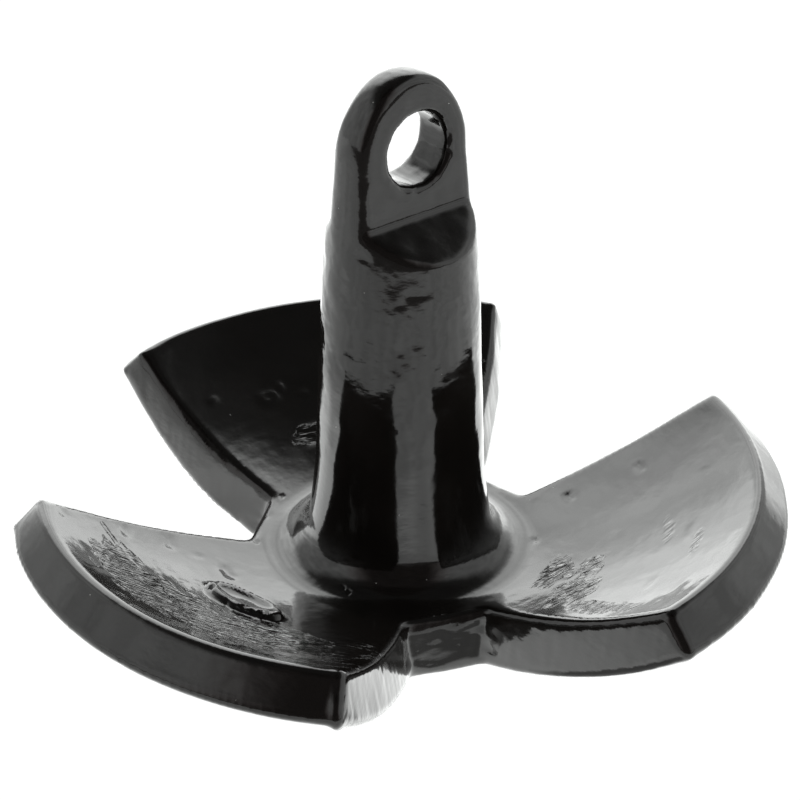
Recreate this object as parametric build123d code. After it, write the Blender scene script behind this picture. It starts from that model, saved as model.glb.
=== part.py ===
from build123d import *
import math
import os

# River anchor: a sand-cast iron shank with an eye, standing on a shallow dish that is notched into three
# flukes, all dipped in vinyl. Millimetres. Z is the shank's axis, z = 0 is the flat under the crown, and
# the eye's bore runs along Y.
#
# Each shape function takes the depth below the anchor's outer surface: a depth of 0 gives the outside of
# the vinyl, and a depth of COAT gives the outside of the iron.

COAT = 1.0                  # thickness of the vinyl

# Dish: two spherical surfaces centred on the Z axis, and a leaning rim between them
RIM_RADIUS = 126.0          # upper edge of the rim
RIM_LOWER_RADIUS = 138.0    # lower edge of the rim, where the anchor is widest
RIM_LOWER_HEIGHT = 49.4
DISH_RADIUS = 218.0         # sphere of the upper surface
DISH_HEIGHT = 21.9          # upper surface where it would cross the axis
UNDERSIDE_RADIUS = 214.0    # sphere of the lower surface
BASE_RADIUS = 22.0          # flat under the crown, which the anchor stands on

# Three notches leave three flukes. They are measured at NOTCH_LEVEL, by the inner end's upper edge
FLUKE_NAMES = ("front", "rear", "left")
FIRST_FLUKE_ANGLE = -52.5   # from +X, counterclockwise
NOTCH_LEVEL = 30.0
NOTCH_START = 52.0          # from the axis to the notch's inner end
NOTCH_INNER_WIDTH = 29.7
NOTCH_HALF_ANGLE = 29.0     # between the notch's centre line and its side walls
NOTCH_SIDE_BULGE = 2.2      # the flukes' sides bow outwards by this much
NOTCH_CORNER = 4.0
NOTCH_DRAFT = 8.5           # the walls lean, so that the flukes widen towards their undersides

# Foot and shank
FOOT_RADIUS = 49.2          # where the foot's fillet meets the dish
WAIST_RADIUS = 32.6         # between that fillet and the slow flare above it
WAIST_HEIGHT = 38.5
SHANK_FOOT_RADIUS = 29.5    # where the flare leaves the shank
SHANK_FOOT_HEIGHT = 67.0
SHANK_MIDDLE_RADIUS = 27.3
SHANK_MIDDLE_HEIGHT = 117.0

# Eye: the shank ends in an oval dome, cut by two flats
DOME_RADIUS = 23.6
DOME_START = 178.0
DOME_CAP_RADIUS = 20.5
TOP_HEIGHT = 206.4
BORE_RADIUS = 12.5
BORE_HEIGHT = 180.4
BORE_OFFSET = 1.2           # along X
EYE_TOP_THICKNESS = 14.0
EYE_THICKNESS = 18.7        # at the foot of the flats
EYE_OFFSET = 0.5            # along Y
SHOULDER_HEIGHT = 157.4     # foot of the flats, where a shoulder slopes down and out of the shank
SHOULDER_SLOPE = 29.0
SHOULDER_HOLLOW = 2.0       # radius between flat and shoulder

# Rounded edges
DISH_EDGE = 2.8
EYE_EDGE = 2.4
BORE_EDGE = 1.4

# Plain raised oval on the left fluke
PAD_LENGTH = 30.0
PAD_WIDTH = 13.0
PAD_RISE = 1.5
PAD_DISTANCE = 74.0
PAD_ANGLE = 185.5           # from +X, counterclockwise, to the pad's middle
PAD_TURN = 100.0            # from there to the pad's long axis

# Planes where the casting and its coat are divided into members
FLUKE_ROOT = 38.0           # from the axis to the plane at each fluke's root
CROWN_TOP = 35.0

# Larger than the anchor is from its axis
BEYOND = 200.0

# In the section, X is the distance from the axis and Y is the height
DISH_CENTRE = Vector(0, DISH_HEIGHT + DISH_RADIUS)
UNDERSIDE_CENTRE = Vector(0, math.sqrt(UNDERSIDE_RADIUS**2 - BASE_RADIUS**2))
SHANK_FOOT = Vector(SHANK_FOOT_RADIUS, SHANK_FOOT_HEIGHT)
SHANK_MIDDLE = Vector(SHANK_MIDDLE_RADIUS, SHANK_MIDDLE_HEIGHT)


def on_dish(radius):
    """The section's point on the dish's upper surface, at this distance from the axis."""
    return Vector(radius, DISH_CENTRE.Y - math.sqrt(DISH_RADIUS**2 - radius**2))


def inset(point, depth, inward, other_inward=None):
    """The point moved to where the one or two surfaces that meet in it lie depth deeper."""
    other_inward = other_inward or inward
    return point + (inward + other_inward) * (depth / (1 + inward.dot(other_inward)))


def foot_end(depth):
    """Where the foot's fillet meets the dish."""
    foot = on_dish(FOOT_RADIUS)
    return inset(foot, depth, (foot - DISH_CENTRE).normalized())


def dish_outline(depth):
    """The section's edges from the axis along the base, underside, rim and dish to the foot."""
    base = Vector(BASE_RADIUS, 0)
    lower_rim = Vector(RIM_LOWER_RADIUS, RIM_LOWER_HEIGHT)
    rim = on_dish(RIM_RADIUS)
    up_rim = (rim - lower_rim).normalized()
    rim_inward = Vector(-up_rim.Y, up_rim.X)
    base_end = inset(base, depth, Vector(0, 1), (UNDERSIDE_CENTRE - base).normalized())
    lower_rim_end = inset(lower_rim, depth, (UNDERSIDE_CENTRE - lower_rim).normalized(), rim_inward)
    rim_end = inset(rim, depth, rim_inward, (rim - DISH_CENTRE).normalized())
    return [
        Line((0, depth), base_end),
        RadiusArc(base_end, lower_rim_end, -(UNDERSIDE_RADIUS - depth)),
        Line(lower_rim_end, rim_end),
        RadiusArc(rim_end, foot_end(depth), DISH_RADIUS + depth),
    ]


def shank_outline(depth):
    """The section's edges from the foot up the fillet, flare and shank to the top of the dome."""
    waist = Vector(WAIST_RADIUS, WAIST_HEIGHT)
    down_shank = (SHANK_FOOT - SHANK_MIDDLE).normalized()
    down_flare = TangentArc(SHANK_FOOT, waist, tangent=down_shank) % 1
    shank_inward = Vector(down_shank.Y, -down_shank.X)
    waist_end = inset(waist, depth, Vector(down_flare.Y, -down_flare.X))
    shank_end = inset(SHANK_FOOT, depth, shank_inward)
    dome_start = Vector(DOME_RADIUS - depth, DOME_START)
    cap = dome_cap(depth)
    return [
        TangentArc(waist_end, foot_end(depth), tangent=down_flare),
        TangentArc(shank_end, waist_end, tangent=down_shank),
        ThreePointArc(shank_end, inset(SHANK_MIDDLE, depth, shank_inward), dome_start),
        TangentArc(dome_start, cap @ 0, tangent=(0, 1)),
        cap,
    ]


def dome_cap(depth):
    """The dome's round cap, which starts where an arc that rises upright from the shank runs into it."""
    centre = Vector(0, TOP_HEIGHT - DOME_CAP_RADIUS)
    lift = centre.Y - DOME_START
    narrowing = DOME_RADIUS - DOME_CAP_RADIUS
    start = math.degrees(math.atan2(lift, (lift**2 - narrowing**2) / (2 * narrowing)))
    return CenterArc(centre, DOME_CAP_RADIUS - depth, start, 90 - start)


def turned_body(depth):
    """Dish, foot, shank and dome, turned about the Z axis."""
    on_axis = Line((0, TOP_HEIGHT - depth), (0, depth))
    section = make_face(dish_outline(depth) + shank_outline(depth) + [on_axis])
    return revolve(Plane.XZ * section, Axis.Z)


def fluke_angles():
    return [FIRST_FLUKE_ANGLE + index * 360 / len(FLUKE_NAMES) for index in range(len(FLUKE_NAMES))]


def notch_outline(depth):
    """Plan of the notch that opens along +X, with bowed sides and rounded inner corners."""
    half_width = NOTCH_INNER_WIDTH / 2
    run = RIM_LOWER_RADIUS - NOTCH_START + half_width
    inner = Vector(NOTCH_START, half_width)
    outer = inner + Vector(run, run * math.tan(math.radians(NOTCH_HALF_ANGLE)))
    along = (outer - inner).normalized()
    bowed = (inner + outer) / 2 + Vector(along.Y, -along.X) * NOTCH_SIDE_BULGE
    side = ThreePointArc(inner, bowed, outer)
    inner_end = Line(inner, (inner.X, -inner.Y))
    outer_end = Line(outer, (outer.X, -outer.Y))
    outline = make_face([side, mirror(side, about=Plane.XZ), inner_end, outer_end])
    outline = fillet(outline.vertices().group_by(Axis.X)[0], NOTCH_CORNER)
    return offset(outline, depth) if depth > 0 else outline


def notches(depth):
    """Three tapered cutters, one midway between each two flukes."""
    outline = Pos(Z=NOTCH_LEVEL) * notch_outline(depth)
    upper = extrude(outline, RIM_LOWER_HEIGHT, taper=-NOTCH_DRAFT)
    lower = extrude(outline, -NOTCH_LEVEL, taper=NOTCH_DRAFT)
    half_pitch = 180 / len(FLUKE_NAMES)
    return [Rot(Z=angle + half_pitch) * (upper + lower) for angle in fluke_angles()]


def dish_edges(body):
    """The sharp edges round the flukes and the notches."""
    def is_dish_edge(edge):
        middle = edge.position_at(0.5)
        return math.hypot(middle.X, middle.Y) > NOTCH_START - NOTCH_CORNER and edge.length > DISH_EDGE
    return body.edges().filter_by(is_dish_edge)


def flat_cutters(depth):
    """Two cutters, one each side, that make the eye's flats and the shoulders where these run out."""
    flat_top = Vector(EYE_TOP_THICKNESS / 2, TOP_HEIGHT)
    flat_foot = Vector(EYE_THICKNESS / 2, SHOULDER_HEIGHT)
    above_top = flat_top + (flat_top - flat_foot)
    drop = (BEYOND - flat_foot.X) * math.tan(math.radians(SHOULDER_SLOPE))
    shoulder_end = Vector(BEYOND, flat_foot.Y - drop)
    corners = [above_top, flat_foot, shoulder_end, (BEYOND, above_top.Y)]
    outline = make_face(Polyline(*corners, close=True))
    foot = outline.vertices().sort_by_distance((flat_foot.X, flat_foot.Y))[0]
    outline = fillet(foot, SHOULDER_HOLLOW)
    if depth > 0:
        outline = offset(outline, depth)
    cutter = extrude(Plane.YZ * outline, BEYOND, both=True)
    return [Pos(Y=EYE_OFFSET) * Rot(Z=turn) * cutter for turn in (0, 180)]


def eye_edges(body):
    """The outlines of the flats and shoulders."""
    return body.edges().filter_by(lambda edge: edge.position_at(0.5).Z > SHANK_MIDDLE_HEIGHT)


def bore(depth):
    """The eye's bore, which a shackle or a rope goes through."""
    return Pos(X=BORE_OFFSET, Z=BORE_HEIGHT) * Rot(X=90) * Cylinder(BORE_RADIUS + depth, BEYOND)


def pad(depth):
    """The raised oval, whose top follows the dish."""
    outline = Ellipse(PAD_LENGTH / 2 - depth, PAD_WIDTH / 2 - depth)
    prism = Rot(Z=PAD_ANGLE) * Pos(X=PAD_DISTANCE) * Rot(Z=PAD_TURN) * extrude(outline, TOP_HEIGHT)
    root = Pos(Z=DISH_CENTRE.Y) * Sphere(DISH_RADIUS + 2 * PAD_RISE)
    above = Pos(Z=DISH_CENTRE.Y) * Sphere(DISH_RADIUS - PAD_RISE + depth)
    return (prism & root) - above


def anchor(depth):
    """The whole anchor inside the surface at this depth, as one solid."""
    body = turned_body(depth) - notches(depth)
    body = fillet(dish_edges(body), DISH_EDGE - depth)
    body -= flat_cutters(depth)
    body = fillet(eye_edges(body), EYE_EDGE - depth)
    body -= bore(depth)
    body = fillet(body.edges().filter_by(GeomType.ELLIPSE), BORE_EDGE - depth)
    return body + pad(depth)


def members(body):
    """The body divided by planes into its shank, its crown and one piece for each fluke."""
    pieces = {}
    for name, angle in zip(FLUKE_NAMES, fluke_angles()):
        outboard = Box(BEYOND, 2 * BEYOND, 2 * BEYOND, align=(Align.MIN, Align.CENTER, Align.CENTER))
        outboard = Rot(Z=angle) * Pos(X=FLUKE_ROOT) * outboard
        pieces["fluke_" + name] = body & outboard
        body -= outboard
    above = Pos(Z=CROWN_TOP) * Box(BEYOND, BEYOND, BEYOND, align=(Align.CENTER, Align.CENTER, Align.MIN))
    pieces["shank"] = body & above
    pieces["crown"] = body - above
    return pieces


def write(pieces, suffix=""):
    for name, piece in pieces.items():
        piece.label = name + suffix
        export_step(piece, "parts/" + piece.label + ".step")


os.makedirs("parts", exist_ok=True)
iron = anchor(COAT)
write(members(iron))
write(members(anchor(0) - iron), "_coat")
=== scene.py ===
"""River anchor: an iron casting under one glossy black dipped vinyl coat.

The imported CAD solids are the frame. The iron members stay as they are, inside the coat. The coat's
solids are replaced by one continuous skin, remeshed from their outer faces, with the waves of the sand
casting, its pits and nubs, and the beads and runs of the dipped vinyl worked into its mesh.
Units are metres. +Z is up the shank, and the eye's bore runs along Y.
"""

import math

import bpy
import numpy as np
from mathutils import Matrix, Vector, noise
from mathutils.bvhtree import BVHTree


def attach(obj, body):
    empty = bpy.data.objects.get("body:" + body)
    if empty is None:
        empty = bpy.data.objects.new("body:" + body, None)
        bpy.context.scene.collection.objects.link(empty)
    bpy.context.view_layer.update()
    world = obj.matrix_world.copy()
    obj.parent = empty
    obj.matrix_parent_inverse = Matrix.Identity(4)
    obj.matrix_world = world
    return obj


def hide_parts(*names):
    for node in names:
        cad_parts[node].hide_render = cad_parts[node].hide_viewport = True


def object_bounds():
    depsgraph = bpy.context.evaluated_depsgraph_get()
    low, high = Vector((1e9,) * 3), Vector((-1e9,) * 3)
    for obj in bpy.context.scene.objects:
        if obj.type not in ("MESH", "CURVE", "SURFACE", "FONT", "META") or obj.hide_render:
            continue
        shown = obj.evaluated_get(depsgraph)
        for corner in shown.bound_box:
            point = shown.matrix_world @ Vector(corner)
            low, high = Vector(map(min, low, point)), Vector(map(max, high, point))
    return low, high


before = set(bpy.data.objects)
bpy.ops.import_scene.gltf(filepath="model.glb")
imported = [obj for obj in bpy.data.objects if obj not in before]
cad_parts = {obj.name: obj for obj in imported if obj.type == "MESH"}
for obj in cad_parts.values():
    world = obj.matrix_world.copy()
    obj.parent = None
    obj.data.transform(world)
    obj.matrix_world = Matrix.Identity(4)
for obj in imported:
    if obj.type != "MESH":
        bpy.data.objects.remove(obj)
CAD_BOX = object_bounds()

MM = 0.001
IRON_MEMBERS = ("shank", "crown", "fluke_front", "fluke_rear", "fluke_left")
COAT_MEMBERS = tuple(name + "_coat" for name in IRON_MEMBERS)

SKIN_VOXEL = 1.15 * MM              # the skin's quads
LEAST_COAT = 0.25 * MM              # between the skin and the iron
AGAINST_IRON = 0.15 * MM            # a coat face's middle this near to the iron is an inner face
IN_A_CUT = 0.03 * MM                # and this near to the next member's coat it lies in a cut
SMOOTH_ROUNDS = 6
SOFTEN_ROUNDS = 45

# The surface's details are in mm, and in degrees round the shank from +X
FLUKE_ANGLES = (-52.5, 67.5, 187.5)
FLUKE_HALF_WIDTH = 34.6             # to the corners at the rim
RIM_TOP = (126.5, 61.5)             # distance from the axis and height of the rim's two edges
RIM_FOOT = (137.5, 50.0)
CORNER_REACH = 12.0                 # how far the softening of the rim's corners reaches
CORNER_SOFTNESS = ((0.3, 0.6), (1.0, 1.0), (1.0, 0.25))     # each fluke's clockwise corner, and its other
FOOT_RADIUS, FOOT_WIDTH, FOOT_TOP = 41.0, 14.0, 60.0        # the shank's fillet on the dish
FOOT_SOFTNESS = 0.4
EYE_FOOT, EYE_SOFTNESS = 148.0, 0.2
BORE_CENTRE = (1.2, 180.4)          # x and z
BORE_RADIUS = 12.5

# Where each part of the surface fades in or out: heights, distances from the axis, and slopes as the
# upward part of the normal
SHANK_FROM, SHANK_OUT = (58, 80), (34, 42)
EYE_FROM = (150, 158)
DISH_FROM, FACING_UP = (40, 48), (0.55, 0.8)
WALL_FROM, FACING_SIDEWAYS = (42, 50), (0.25, 0.5)
NOTCH_END = (58, 66)
BASE_FROM = (0.6, 5)
PITS_FROM, PITS_END = (84, 116), (150, 168)
STROKES_FROM, STROKES_END = (84, 110), (158, 166)

# How high the unevenness is
BROAD_WAVES = 0.22
CASTING_WAVES = 0.08
SHANK_WAVES = 0.25
FINE_WAVES, FINE_SHANK_WAVES = 0.028, 0.035
PIT_DEPTH = 0.125
STROKES = 0.045
NOTCH_WAVES = 0.45
EYE_WAVES = 0.05
DISH_GRAIN, STREAKS = 0.020, 0.16
WALL_RUNS = 0.085
WALL_BULGE = 1.5
LARGE_BEAD = 1.1                    # on the left fluke's corner beside the front fluke

# The plain raised oval on the left fluke
PAD_ANGLE, PAD_DISTANCE, PAD_TURN = 185.5, 74.0, 100.0
PAD_HALF_LENGTH, PAD_HALF_WIDTH = 15.0, 6.5

# Dents and nubs of the casting on the flukes: angle, distance from the axis, length round the axis,
# width and height
DISH_FLAWS = (
    (155, 119, 3.0, 1.7, -0.22), (154, 98, 4.0, 1.7, -0.30), (154, 83, 4.5, 1.9, -0.35),
    (159, 74, 1.6, 1.6, -0.20), (167, 67, 4.5, 2.0, -0.40), (172, 98, 3.0, 1.6, 0.25),
    (201, 113, 3.0, 1.6, 0.35), (176, 88, 2.0, 1.5, -0.18), (216, 92, 3.0, 1.6, -0.15),
    (-22, 66, 2.6, 2.2, -0.35), (-42, 49, 1.5, 1.5, -0.35), (-24, 92, 3.0, 1.8, -0.28),
    (-74, 101, 4.5, 1.5, -0.14), (-77, 114, 5.5, 1.6, -0.14), (-55, 104, 5.0, 1.5, -0.12),
    (-48, 78, 2.6, 2.2, 0.12), (-36, 110, 2.4, 2.0, -0.14),
    (84, 91, 4.0, 2.4, 0.80), (84, 91, 2.2, 1.2, -0.60), (80, 94, 1.7, 2.2, 0.45),
    (75, 89, 1.7, 1.5, 0.30), (78, 74, 5.0, 1.6, 0.30), (79, 67, 3.5, 1.5, -0.25),
    (97, 98, 2.2, 1.5, 0.25), (52, 84, 3.0, 1.8, -0.25), (40, 104, 4.0, 1.7, -0.22),
    (60, 112, 2.5, 1.8, 0.25),
)
# The same on the shank, with a height instead of a distance
SHANK_FLAWS = (
    (-134, 88, 1.7, 1.1, -0.16), (-163, 150, 3.0, 1.4, -0.20), (-95, 131, 3.5, 1.6, -0.22),
    (-118, 138, 4.0, 1.5, -0.22), (20, 92, 3.0, 1.6, -0.25), (62, 128, 3.4, 1.7, 0.22),
    (118, 104, 3.0, 1.5, -0.22), (-30, 76, 2.6, 1.6, 0.22), (150, 141, 3.2, 1.5, -0.2),
)
# Where the sand left rough streaks: angle and distance of a patch's middle, half length and half width
# across the fluke and along it, direction of the streaks, strength
STREAK_PATCHES = (
    (176, 106, 27, 9, 146, 1.0), (192, 99, 30, 12, 138, 0.9), (208, 92, 24, 12, 132, 0.8),
    (216, 112, 14, 5, 132, 0.6),
    (-66, 61, 10, 6, -14, 1.0), (-76, 74, 11, 7, -14, 1.0), (-84, 92, 4, 14, -14, 0.9),
    (-63, 72, 6, 4, -14, 0.9), (-52, 96, 9, 2, 0, 0.35), (-60, 108, 10, 2, 0, 0.35),
    (79, 71, 9, 4, 165, 0.35), (38, 96, 16, 9, 130, 0.5), (22, 66, 9, 6, 120, 0.4),
)


# ---------------------------------------------------------------- the coat's mesh

def joined(objects):
    """Vertices and polygons of several mesh objects as one pair of lists."""
    points, faces = [], []
    for ob in objects:
        first = len(points)
        points += [v.co.copy() for v in ob.data.vertices]
        faces += [[first + i for i in p.vertices] for p in ob.data.polygons]
    return points, faces


def outer_faces():
    """The coat's faces that show: not the ones against the iron, and not the cuts between its members."""
    iron = BVHTree.FromPolygons(*joined([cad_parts[n] for n in IRON_MEMBERS]))
    coats = {n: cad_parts[n] for n in COAT_MEMBERS}
    trees = {n: BVHTree.FromPolygons(*joined([ob])) for n, ob in coats.items()}
    points, faces = [], []
    for name, ob in coats.items():
        others = [trees[n] for n in COAT_MEMBERS if n != name]
        first = len(points)
        points += [v.co.copy() for v in ob.data.vertices]
        for p in ob.data.polygons:
            on_iron = iron.find_nearest(p.center, AGAINST_IRON)[0] is not None
            cut = not on_iron and any(
                near[0] is not None and near[1].dot(p.normal) < -0.5
                for near in (tree.find_nearest(p.center, IN_A_CUT) for tree in others))
            if not on_iron and not cut:
                faces.append([first + i for i in p.vertices])
    return points, faces


def remeshed(points, faces, voxel):
    """An even quad mesh of the closed surface that the faces make."""
    mesh = bpy.data.meshes.new("outer_faces")
    mesh.from_pydata(points, [], faces)
    shell = bpy.data.objects.new("outer_faces", mesh)
    bpy.context.scene.collection.objects.link(shell)
    remesh = shell.modifiers.new("remesh", "REMESH")
    remesh.mode = "VOXEL"
    remesh.voxel_size = voxel
    depsgraph = bpy.context.evaluated_depsgraph_get()
    even = bpy.data.meshes.new_from_object(shell.evaluated_get(depsgraph))
    bpy.data.objects.remove(shell)
    bpy.data.meshes.remove(mesh)
    return even


def coordinates(mesh):
    co = np.empty(len(mesh.vertices) * 3)
    mesh.vertices.foreach_get("co", co)
    return co.reshape(-1, 3)


def set_coordinates(mesh, co):
    mesh.vertices.foreach_set("co", co.ravel())
    mesh.update()


def smoothed(mesh, co, rounds, steps=(0.5, -0.52), weight=1.0):
    """Coordinates relaxed towards their neighbours' middles. The usual steps pull in and push back, so
    that nothing shrinks."""
    ends = np.empty(len(mesh.edges) * 2, dtype=np.int64)
    mesh.edges.foreach_get("vertices", ends)
    a, b = ends.reshape(-1, 2).T
    count = np.bincount(a, minlength=len(co)) + np.bincount(b, minlength=len(co))
    for _ in range(rounds):
        for pull in steps:
            total = np.stack([
                np.bincount(a, co[b, k], len(co)) + np.bincount(b, co[a, k], len(co))
                for k in range(3)], axis=1)
            co = co + weight * pull * (total / count[:, None] - co)
    return co


def soft_places(co):
    """How much more each point is smoothed: on the foot's fillet, on the eye and at the rim's corners."""
    weight = np.zeros(len(co))
    rim = (np.array(RIM_TOP) + np.array(RIM_FOOT)) / 2
    for fluke, softness in zip(FLUKE_ANGLES, CORNER_SOFTNESS):
        for side, soft in zip((-1, 1), softness):
            angle = math.radians(fluke + side * FLUKE_HALF_WIDTH)
            corner = np.array([rim[0] * math.cos(angle), rim[0] * math.sin(angle), rim[1]]) * MM
            near = np.exp(-np.sum((co - corner) ** 2, axis=1) / (CORNER_REACH * MM) ** 2)
            weight = np.maximum(weight, soft * near)
    radius = np.hypot(co[:, 0], co[:, 1]) / MM
    on_foot = FOOT_SOFTNESS * np.exp(-((radius - FOOT_RADIUS) / FOOT_WIDTH) ** 2)
    on_foot *= co[:, 2] < FOOT_TOP * MM
    on_eye = EYE_SOFTNESS * (co[:, 2] > EYE_FOOT * MM)
    return np.maximum(np.maximum(weight, on_foot), on_eye)[:, None]


def bell(value, width):
    """1 at 0, fading evenly to both sides."""
    return math.exp(-(value / width) ** 2)


def ramp(value, low, high):
    """0 at low, 1 at high, with a smooth slope between."""
    t = min(max((value - low) / (high - low), 0.0), 1.0)
    return t * t * (3 - 2 * t)


def wave(q, along, across, up, seed):
    """Smooth noise from -1 to 1 with a feature size for each axis."""
    return noise.noise(Vector((q.x / along + seed, q.y / across - seed, q.z / up + 2 * seed)))


def turn_between(angle, other):
    """Radians from one angle in degrees to another in radians, the short way round."""
    return (other - math.radians(angle) + math.pi) % (2 * math.pi) - math.pi


def flaws(table, radius, angle, place):
    """The height of the dents and nubs of a table where the surface is at this place along its axis."""
    height = 0.0
    for at_angle, at_place, length, width, rise in table:
        off = place - at_place
        if abs(off) < 3 * width:
            run = radius * turn_between(at_angle, angle)
            if abs(run) < 3 * length:
                height += rise * math.exp(-(run / length) ** 4 - (off / width) ** 2)
    return height


def streaked(q):
    """How strongly the dish is streaked at q, from 0 to 1, and the streaks' direction in radians."""
    radius, angle = math.hypot(q.x, q.y), math.atan2(q.y, q.x)
    ragged = noise.noise(Vector((radius / 3.0, radius * angle / 8.0, 4.0)))
    amount, direction = 0.0, 0.0
    for at_angle, at_radius, length, width, turn, strength in STREAK_PATCHES:
        run = radius * turn_between(at_angle, angle) / length
        off = (radius - at_radius) / width
        here = strength * (1 - ramp(math.hypot(run, off) + 0.6 * ragged, 0.6, 1.15))
        if here > amount:
            amount, direction = here, math.radians(turn)
    return amount, direction


def streak_place(q, normal):
    """Where q lies across and along its streaks, in mm, and how strong they are."""
    amount, direction = streaked(q)
    along = Vector((math.cos(direction), math.sin(direction), 0))
    return Vector((along.cross(q).z, along.dot(q), amount * ramp(normal.z, *FACING_UP)))


def pad_relief(q):
    """A rounded border and a sunk middle for the raised oval, a little uneven."""
    angle = math.radians(PAD_ANGLE)
    from_pad = Vector((q.x - PAD_DISTANCE * math.cos(angle), q.y - PAD_DISTANCE * math.sin(angle), 0))
    axis = Vector((math.cos(angle + math.radians(PAD_TURN)), math.sin(angle + math.radians(PAD_TURN)), 0))
    out = math.hypot(from_pad.dot(axis) / PAD_HALF_LENGTH, from_pad.cross(axis).z / PAD_HALF_WIDTH)
    if out > 1.6:
        return 0.0
    uneven = 1 + 0.35 * wave(q, 5, 5, 5, 2.0)
    return uneven * bell(out - 0.86, 0.17) - 0.55 * (1 - ramp(out, 0.35, 0.7))


def corner_beads(radius, angle):
    """Vinyl that ran down the corners of the flukes and stopped in a bead."""
    height = 0.0
    for fluke in FLUKE_ANGLES:
        for side in (-1, 1):
            run = radius * turn_between(fluke + side * FLUKE_HALF_WIDTH, angle)
            if radius > 110 and abs(run) < 12:
                t = (radius - RIM_TOP[0]) / (RIM_FOOT[0] - RIM_TOP[0])
                size = 0.30 + 0.35 * noise.noise(Vector((fluke, side, 5.5)))
                if (fluke, side) == (FLUKE_ANGLES[2], 1):
                    size = LARGE_BEAD
                height += size * bell(run, 1.9) * (0.35 + 0.65 * bell(t - 0.72, 0.30)) * ramp(t, -0.3, 0.1)
    return height


def rim_beads(q, radius, angle):
    """The bead that hangs along the rim's lower edge, with a nub here and there."""
    from_edge = math.hypot(radius - RIM_FOOT[0], q.z - RIM_FOOT[1])
    if from_edge > 6:
        return 0.0
    uneven = 0.5 + 0.5 * noise.noise(Vector((radius * angle / 14, 3.3, 0)))
    nub = max(noise.noise(Vector((radius * angle / 3.2, 8.1, 0))) - 0.42, 0)
    return 0.28 * uneven * bell(from_edge, 2.4) + 2.2 * nub * bell(from_edge, 1.7)


def wall_bulge(q, radius, angle):
    """The rear fluke's sides stand out unevenly below their upper edge."""
    if abs(turn_between(FLUKE_ANGLES[1], angle)) > math.radians(44):
        return 0.0
    below_edge = 1 - ramp(q.z - 0.4 * (radius - 90), 34, 50)
    uneven = 0.75 + 0.3 * noise.noise(Vector((radius / 14, angle, 2.6)))
    return WALL_BULGE * uneven * below_edge * ramp(radius, 62, 84) * (1 - ramp(radius, 104, 122))


def bore_beads(q):
    """The coat's ragged edge round the bore."""
    from_axis = math.hypot(q.x - BORE_CENTRE[0], q.z - BORE_CENTRE[1])
    if from_axis > BORE_RADIUS + 5:
        return 0.0
    turn = math.atan2(q.z - BORE_CENTRE[1], q.x - BORE_CENTRE[0])
    place = Vector((math.cos(turn), math.sin(turn), 0.05 * q.y)) * (BORE_RADIUS / 2.4)
    return (0.12 + 0.30 * noise.noise(place)) * bell(from_axis - BORE_RADIUS - 1.0, 1.1)


def relief(q, normal):
    """How far the coat stands out from the design surface at q, all in mm: the casting's waves, pits and
    streaks, and the runs and beads of the dipped vinyl."""
    radius, angle = math.hypot(q.x, q.y), math.atan2(q.y, q.x)
    outwards = (normal.x * q.x + normal.y * q.y) / max(radius, 1.0)
    on_shank = ramp(q.z, *SHANK_FROM) * (1 - ramp(radius, *SHANK_OUT))
    on_dish = ramp(normal.z, *FACING_UP) * ramp(radius, *DISH_FROM)
    on_wall = (1 - ramp(abs(normal.z), *FACING_SIDEWAYS)) * ramp(radius, *WALL_FROM)
    on_notch = on_wall * (1 - ramp(radius, *NOTCH_END))
    beside_eye = ramp(q.z, *EYE_FROM)

    height = BROAD_WAVES * wave(q, 26, 26, 26, 0.0)
    height += CASTING_WAVES * (1 - 0.5 * on_dish) * wave(q, 12, 12, 12, 7.3)
    height += SHANK_WAVES * on_shank * (1 - 0.7 * beside_eye) * wave(q, 9, 9, 10, 3.1)
    height += (FINE_WAVES + FINE_SHANK_WAVES * on_shank) * wave(q, 5.2, 5.2, 5.2, 1.7)
    height += NOTCH_WAVES * on_notch * wave(q, 7, 7, 4, 4.4)
    height += EYE_WAVES * beside_eye * wave(q, 8, 8, 6, 8.8)

    pitted = on_shank * ramp(q.z, *PITS_FROM) * (1 - 0.8 * ramp(q.z, *PITS_END)) * ramp(outwards, 0.6, 0.95)
    slant = Vector((q.x, q.y, q.z + 0.35 * radius * angle))
    pits = wave(slant, 3.6, 3.6, 2.1, 5.9) + 0.5 * wave(slant, 2.4, 2.4, 1.4, 2.2)
    height -= PIT_DEPTH * pitted * max(pits + 0.02 + 0.35 * wave(q, 13, 13, 13, 9.0), 0)
    strokes = on_shank * ramp(q.z, *STROKES_FROM) * (1 - 0.5 * ramp(q.z, *STROKES_END))
    height += STROKES * strokes * wave(slant, 4.2, 4.2, 1.9, 3.7)

    if on_dish > 0:
        across, along, amount = streak_place(q, normal)
        ridges = noise.noise(Vector((across / 4.0, along / 13, 1.4)))
        height += (DISH_GRAIN * on_dish + STREAKS * amount) * ridges
        height += on_dish * (flaws(DISH_FLAWS, radius, angle, radius) + pad_relief(q))
    if on_shank > 0:
        height += on_shank * flaws(SHANK_FLAWS, radius, angle, q.z)
    runs = wave(q, 2.8, 2.8, 17, 6.4) + 0.5 * wave(q, 5.5, 5.5, 26, 1.1)
    height += wall_bulge(q, radius, angle) * on_wall
    height += WALL_RUNS * on_wall * (1 - 0.8 * ramp(outwards, 0.5, 0.9)) * runs
    height += corner_beads(radius, angle) + rim_beads(q, radius, angle) + bore_beads(q)
    return height * ramp(q.z, *BASE_FROM)


def clear_of_iron(co, iron):
    """Coordinates with no point nearer to the iron than the coat's least thickness."""
    for i, c in enumerate(co):
        place, normal, _, _ = iron.find_nearest(Vector(c))
        if (Vector(c) - place).dot(normal) < LEAST_COAT:
            co[i] = place + normal * LEAST_COAT
    return co


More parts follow.
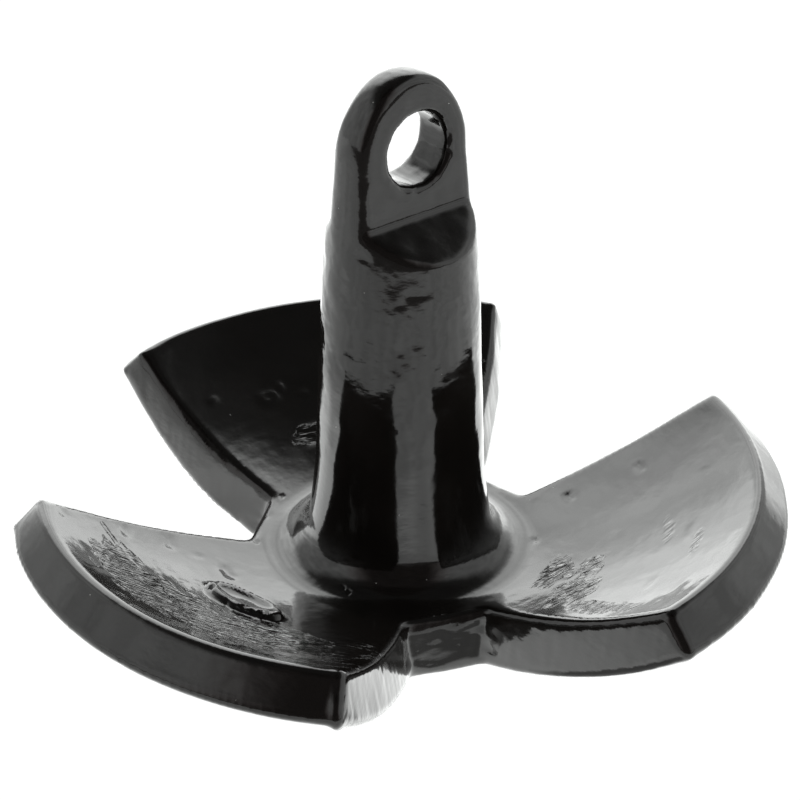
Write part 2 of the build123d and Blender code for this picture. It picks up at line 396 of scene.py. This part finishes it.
def make_skin():
    """The coat as one mesh. Each point's place along and across its streaks is stored for the material."""
    points, faces = outer_faces()
    mesh = remeshed(points, faces, SKIN_VOXEL)
    design = BVHTree.FromPolygons(points, faces)
    co = coordinates(mesh)
    co = np.array([design.find_nearest(Vector(c))[0] for c in co])
    co = smoothed(mesh, co, SMOOTH_ROUNDS)
    co = smoothed(mesh, co, SOFTEN_ROUNDS, steps=(0.5,), weight=soft_places(co))
    set_coordinates(mesh, co)
    normals = [v.normal.copy() for v in mesh.vertices]
    out = np.array([relief(Vector(c) / MM, n) for c, n in zip(co, normals)]) * MM
    iron = BVHTree.FromPolygons(*joined([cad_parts[n] for n in IRON_MEMBERS]))
    set_coordinates(mesh, clear_of_iron(co + np.array(normals) * out[:, None], iron))
    places = mesh.attributes.new("streaks", "FLOAT_VECTOR", "POINT")
    places.data.foreach_set("vector", np.array(
        [streak_place(Vector(c) / MM, n) for c, n in zip(co, normals)]).ravel())
    mesh.polygons.foreach_set("use_smooth", [True] * len(mesh.polygons))
    mesh.name = "vinyl_coat"
    mesh.materials.clear()
    skin = bpy.data.objects.new("vinyl_coat", mesh)
    bpy.context.scene.collection.objects.link(skin)
    return skin


# ---------------------------------------------------------------- materials

def node_tree(material):
    material.use_nodes = True
    material.node_tree.nodes.clear()
    return material.node_tree


def add(tree, kind, inputs=None, **settings):
    """A node of that kind, with its settings, its constant inputs and its links."""
    node = tree.nodes.new(kind)
    for name, value in settings.items():
        setattr(node, name, value)
    for name, value in (inputs or {}).items():
        if isinstance(value, bpy.types.NodeSocket):
            tree.links.new(value, node.inputs[name])
        else:
            node.inputs[name].default_value = value
    return node


def streaks(tree):
    """Fine ridges that follow the mesh's own streaks: x across them, y along them, z their strength."""
    own = add(tree, "ShaderNodeAttribute", attribute_name="streaks").outputs["Vector"]
    ridges = add(tree, "ShaderNodeMapping", {"Vector": own, "Scale": (0.38, 0.09, 0)})
    grain = add(tree, "ShaderNodeTexNoise", {"Vector": ridges.outputs[0], "Scale": 1.0, "Detail": 2.0,
                                             "Roughness": 0.6})
    ridge = add(tree, "ShaderNodeMath", {0: grain.outputs["Fac"], 1: 0.5}, operation="SUBTRACT").outputs[0]
    amount = add(tree, "ShaderNodeSeparateXYZ", {"Vector": own}).outputs["Z"]
    return add(tree, "ShaderNodeMath", {0: ridge, 1: amount}, operation="MULTIPLY").outputs[0]


def vinyl():
    material = bpy.data.materials.new("black_dipped_vinyl")
    tree = node_tree(material)
    place = add(tree, "ShaderNodeTexCoord").outputs["Object"]
    flow = add(tree, "ShaderNodeMapping", {"Vector": place, "Scale": (1, 1, 2.0)}).outputs[0]

    waves = add(tree, "ShaderNodeTexNoise", {"Vector": flow, "Scale": 190, "Detail": 1.5, "Roughness": 0.5})
    peel = add(tree, "ShaderNodeTexNoise", {"Vector": flow, "Scale": 560, "Detail": 1.5, "Roughness": 0.45})
    patches = add(tree, "ShaderNodeTexNoise", {"Vector": place, "Scale": 34, "Detail": 2,
                                               "Roughness": 0.55})
    patchy = add(tree, "ShaderNodeMapRange", {"Value": patches.outputs["Fac"], "From Min": 0.42,
                                              "From Max": 0.62, "To Min": 0.25, "To Max": 1.0})
    peel_depth = add(tree, "ShaderNodeMath", {0: peel.outputs["Fac"], 1: patchy.outputs[0]},
                     operation="MULTIPLY")
    bump_waves = add(tree, "ShaderNodeBump", {"Height": waves.outputs["Fac"], "Distance": 0.00012,
                                              "Strength": 0.5})
    bump_peel = add(tree, "ShaderNodeBump", {"Height": peel_depth.outputs[0], "Distance": 0.00004,
                                             "Strength": 0.5, "Normal": bump_waves.outputs[0]})
    bump_streaks = add(tree, "ShaderNodeBump", {"Height": streaks(tree), "Distance": 0.0028,
                                                "Strength": 0.8, "Normal": bump_peel.outputs[0]})

    specks = add(tree, "ShaderNodeTexVoronoi", {"Vector": place, "Scale": 210, "Randomness": 1.0})
    chance = add(tree, "ShaderNodeSeparateColor", {"Color": specks.outputs["Color"]})
    rare = add(tree, "ShaderNodeMath", {0: chance.outputs[0], 1: 0.91}, operation="GREATER_THAN")
    small = add(tree, "ShaderNodeMath", {0: specks.outputs["Distance"], 1: 0.055}, operation="LESS_THAN")
    dust = add(tree, "ShaderNodeMath", {0: rare.outputs[0], 1: small.outputs[0]}, operation="MULTIPLY")

    black = colour_mix(tree, patchy.outputs[0], (0.0055, 0.0048, 0.0042, 1), (0.0082, 0.0070, 0.0062, 1))
    dusty = colour_mix(tree, dust.outputs[0], black, (0.28, 0.28, 0.27, 1))

    rough = add(tree, "ShaderNodeMapRange", {"Value": patches.outputs["Fac"], "From Min": 0.3,
                                             "From Max": 0.7, "To Min": 0.075, "To Max": 0.135})
    shader = add(tree, "ShaderNodeBsdfPrincipled", {
        "Base Color": dusty, "Roughness": rough.outputs[0], "IOR": 1.54,
        "Normal": bump_streaks.outputs[0]})
    add(tree, "ShaderNodeOutputMaterial", {"Surface": shader.outputs[0]})
    return material


def raw_iron():
    material = bpy.data.materials.new("raw_cast_iron")
    tree = node_tree(material)
    place = add(tree, "ShaderNodeTexCoord").outputs["Object"]
    grain = add(tree, "ShaderNodeTexNoise", {"Vector": place, "Scale": 900, "Detail": 4, "Roughness": 0.65})
    patches = add(tree, "ShaderNodeTexNoise", {"Vector": place, "Scale": 60, "Detail": 4, "Roughness": 0.6})
    colour = add(tree, "ShaderNodeValToRGB", {"Fac": patches.outputs["Fac"]})
    colour.color_ramp.elements[0].position = 0.35
    colour.color_ramp.elements[0].color = (0.090, 0.086, 0.082, 1)
    colour.color_ramp.elements[1].position = 0.68
    colour.color_ramp.elements[1].color = (0.20, 0.185, 0.17, 1)
    rough = add(tree, "ShaderNodeMapRange", {"Value": grain.outputs["Fac"], "To Min": 0.5, "To Max": 0.75})
    bump = add(tree, "ShaderNodeBump", {"Height": grain.outputs["Fac"], "Distance": 0.0004,
                                        "Strength": 0.7})
    shader = add(tree, "ShaderNodeBsdfPrincipled", {
        "Base Color": colour.outputs[0], "Metallic": 0.6, "Roughness": rough.outputs[0],
        "Normal": bump.outputs[0]})
    add(tree, "ShaderNodeOutputMaterial", {"Surface": shader.outputs[0]})
    return material


# ---------------------------------------------------------------- studio

CAMERA_AZIMUTH = math.radians(-130)
CAMERA_REACH = 0.6491
CAMERA_HEIGHT = 0.4575
CAMERA_PITCH = math.radians(-29.889)
CAMERA_ROLL = math.radians(0.381)
CAMERA_LENS = 96.88

# The room is a white light tent with a bright back panel, open to a dark room on the camera's side.
BACK = Vector((-math.cos(CAMERA_AZIMUTH), -math.sin(CAMERA_AZIMUTH), 0))
LEFT = Vector((-BACK.y, BACK.x, 0))
# Their edges are in degrees from straight back, and in degrees up.
ROOM_DARK, ROOM_TOP_DARK = 0.08, 0.03
ROOM_TOP = (55, 66)
TENT_WHITE, TENT_TOP_WHITE = 0.95, 0.03
TENT_SIDE = (116, 150)
TENT_TOP = (37, 54)
PANEL_WHITE = 2.45
PANEL_TURN = math.radians(7)        # the panel's middle, to the left of straight back
PANEL_SIDE = (26, 46)
PANEL_TOP = (45.5, 56)

FLOOR_SIZE = 30.0
FLOOR_EDGE = (-0.42, -0.36)         # the table's front edge, with the dark room before it
FLOOR_EDGE_DARK = 0.07
FLOOR_SIDES = (-0.15, 0.15)
FLOOR_RIGHT_WHITE, FLOOR_LEFT_WHITE = 1.15, 1.0
FLOOR_NEAR = (0.13, 0.26)           # extra light round the anchor, most of it behind the shank
FLOOR_NEAR_WHITE = 1.15
FLOOR_NEAR_CENTRE = (-0.05, 0)      # in front of the shank and to its right
SHADE_CENTRE = (0.096, 0.054)       # the anchor's own shade, measured in the same way
SHADE_REACH = (0.022, 0.042)
SHADE = 0.25
FLOOR_BACK = (0.10, 0.50)           # the panel's light on the table
FLOOR_BACK_WHITE = 2.1
FLOOR_BACK_SIDE = 0.15
FLOOR_BACK_FROM = 0.30
UNEVEN = 0.22                       # how much the light varies from place to place
FLOOR_CLOUDS, ROOM_CLOUDS = 16, 7
WARM = (1.0, 0.88, 0.86, 1)         # light from the room and the table's front edge
COOL = (0.985, 1.0, 0.988, 1)       # light from the tent
COOL_SIDE = (110, 150)
SEEN_WHITE = 1.0


def camera():
    data = bpy.data.cameras.new("camera")
    data.lens = CAMERA_LENS
    data.sensor_width = 36
    data.clip_start = 0.01
    data.clip_end = 100
    ob = bpy.data.objects.new("camera", data)
    bpy.context.scene.collection.objects.link(ob)
    heading = CAMERA_AZIMUTH + math.pi / 2
    turn = (Matrix.Rotation(heading, 4, "Z") @ Matrix.Rotation(math.pi / 2 + CAMERA_PITCH, 4, "X")
            @ Matrix.Rotation(CAMERA_ROLL, 4, "Z"))
    place = -BACK * CAMERA_REACH + Vector((0, 0, CAMERA_HEIGHT))
    ob.matrix_world = Matrix.Translation(place) @ turn
    bpy.context.scene.camera = ob


def colour_mix(tree, factor, first, second):
    """A colour between two. The node has sockets of the same names for each type, so they are numbered."""
    node = add(tree, "ShaderNodeMix", {0: factor}, data_type="RGBA")
    for index, colour in ((6, first), (7, second)):
        if isinstance(colour, bpy.types.NodeSocket):
            tree.links.new(colour, node.inputs[index])
        else:
            node.inputs[index].default_value = colour
    return node.outputs[2]


def step(tree, value, low, high, before=0.0, after=1.0):
    """A smooth change from one value to another, between low and high."""
    return add(tree, "ShaderNodeMapRange", {"Value": value, "From Min": low, "From Max": high,
                                            "To Min": before, "To Max": after},
               interpolation_type="SMOOTHSTEP").outputs[0]


def math_node(tree, operation, *values):
    return add(tree, "ShaderNodeMath", dict(enumerate(values)), operation=operation).outputs[0]


def along(tree, vector, axis):
    return add(tree, "ShaderNodeVectorMath", {0: vector, 1: axis}, operation="DOT_PRODUCT").outputs["Value"]


def off_back(tree, behind, aside):
    """Degrees between the direction straight back and the way to a point or along a direction."""
    return math_node(tree, "DEGREES", math_node(tree, "ABSOLUTE",
                                                math_node(tree, "ARCTAN2", aside, behind)))


def seen_or_lit(tree, lit):
    """The background is plain white to the eye, and gives the object the light of the tent."""
    path = add(tree, "ShaderNodeLightPath")
    return add(tree, "ShaderNodeMix", {0: path.outputs["Is Camera Ray"], 2: lit, 3: SEEN_WHITE}).outputs[0]


def uneven(tree, place, scale, lit):
    """The light with soft cloudy differences, as creased cloth and paper give it."""
    clouds = add(tree, "ShaderNodeTexNoise", {"Vector": place, "Scale": scale, "Detail": 2.0})
    share = add(tree, "ShaderNodeMapRange", {
        "Value": clouds.outputs["Fac"], "From Min": 0.3, "From Max": 0.7,
        "To Min": 1 - UNEVEN, "To Max": 1 + UNEVEN})
    return math_node(tree, "MULTIPLY", lit, share.outputs[0])


def seen_or_tinted(tree, coolness):
    """White to the eye, and a light tint for the object: warm at 0 and cool at 1."""
    path = add(tree, "ShaderNodeLightPath")
    tint = colour_mix(tree, coolness, WARM, COOL)
    return colour_mix(tree, path.outputs["Is Camera Ray"], tint, (1, 1, 1, 1))


def reach(tree, place, in_front, to_right):
    """How far a place on the floor is from one that lies in front of the shank and to its right."""
    centre = -BACK * in_front - LEFT * to_right
    return add(tree, "ShaderNodeVectorMath", {0: place, 1: centre}, operation="DISTANCE").outputs["Value"]


def floor():
    mesh = bpy.data.meshes.new("floor")
    half = FLOOR_SIZE / 2
    z = CAD_BOX[0][2]
    mesh.from_pydata([(-half, -half, z), (half, -half, z), (half, half, z), (-half, half, z)], [],
                     [(0, 1, 2, 3)])
    ob = bpy.data.objects.new("floor", mesh)
    bpy.context.scene.collection.objects.link(ob)
    material = bpy.data.materials.new("white_table")
    tree = node_tree(material)
    place = add(tree, "ShaderNodeTexCoord").outputs["Object"]
    behind, aside = along(tree, place, BACK), along(tree, place, LEFT)
    sides = step(tree, aside, *FLOOR_SIDES, FLOOR_RIGHT_WHITE, FLOOR_LEFT_WHITE)
    table = math_node(tree, "MULTIPLY", sides, step(tree, behind, *FLOOR_EDGE, FLOOR_EDGE_DARK, 1))
    near = step(tree, reach(tree, place, *FLOOR_NEAR_CENTRE), *FLOOR_NEAR, FLOOR_NEAR_WHITE, 0)
    shade = step(tree, reach(tree, place, *SHADE_CENTRE), *SHADE_REACH, SHADE, 1)
    angle = off_back(tree, math_node(tree, "ADD", behind, FLOOR_BACK_FROM), aside)
    mirrored = math_node(tree, "MULTIPLY", step(tree, behind, *FLOOR_BACK, 0, FLOOR_BACK_WHITE),
                         step(tree, angle, *PANEL_SIDE, 1, FLOOR_BACK_SIDE))
    table = math_node(tree, "MULTIPLY", math_node(tree, "ADD", table, near), shade)
    lit = uneven(tree, place, FLOOR_CLOUDS, math_node(tree, "ADD", table, mirrored))
    shader = add(tree, "ShaderNodeBsdfPrincipled", {
        "Base Color": (0.1, 0.1, 0.1, 1), "Roughness": 1.0, "Specular IOR Level": 0.0,
        "Emission Color": seen_or_tinted(tree, step(tree, behind, *FLOOR_EDGE)),
        "Emission Strength": seen_or_lit(tree, lit)})
    add(tree, "ShaderNodeOutputMaterial", {"Surface": shader.outputs[0]})
    mesh.materials.append(material)


def studio_light():
    world = bpy.data.worlds.new("studio")
    world.use_nodes = True
    tree = world.node_tree
    tree.nodes.clear()
    way = add(tree, "ShaderNodeTexCoord").outputs["Generated"]
    behind, aside, up = along(tree, way, BACK), along(tree, way, LEFT), along(tree, way, (0, 0, 1))
    angle = off_back(tree, behind, aside)
    panel_behind = along(tree, way, Matrix.Rotation(PANEL_TURN, 3, "Z") @ BACK)
    panel_aside = along(tree, way, Matrix.Rotation(PANEL_TURN, 3, "Z") @ LEFT)
    panel_angle = off_back(tree, panel_behind, panel_aside)
    elevation = math_node(tree, "DEGREES", math_node(tree, "ARCSINE", up))
    tent = math_node(tree, "MULTIPLY", step(tree, angle, *TENT_SIDE, TENT_WHITE, 0),
                     step(tree, elevation, *TENT_TOP, 1, TENT_TOP_WHITE))
    panel = math_node(tree, "MULTIPLY", step(tree, panel_angle, *PANEL_SIDE, PANEL_WHITE, 0),
                      step(tree, elevation, *PANEL_TOP, 1, 0))
    room = step(tree, elevation, *ROOM_TOP, ROOM_DARK, ROOM_TOP_DARK)
    lit = uneven(tree, way, ROOM_CLOUDS, math_node(tree, "ADD", math_node(tree, "ADD", tent, panel), room))
    background = add(tree, "ShaderNodeBackground", {
        "Color": seen_or_tinted(tree, step(tree, angle, *COOL_SIDE, 1, 0)),
        "Strength": seen_or_lit(tree, lit)})
    add(tree, "ShaderNodeOutputWorld", {"Surface": background.outputs[0]})
    bpy.context.scene.world = world


# ---------------------------------------------------------------- assembly

skin = make_skin()
skin.data.materials.append(vinyl())
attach(skin, "root")
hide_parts(*COAT_MEMBERS)

iron = raw_iron()
for name in IRON_MEMBERS:
    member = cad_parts[name]
    member.data.materials.clear()
    member.data.materials.append(iron)

camera()
floor()
studio_light()
bpy.context.scene.view_settings.view_transform = "Standard"
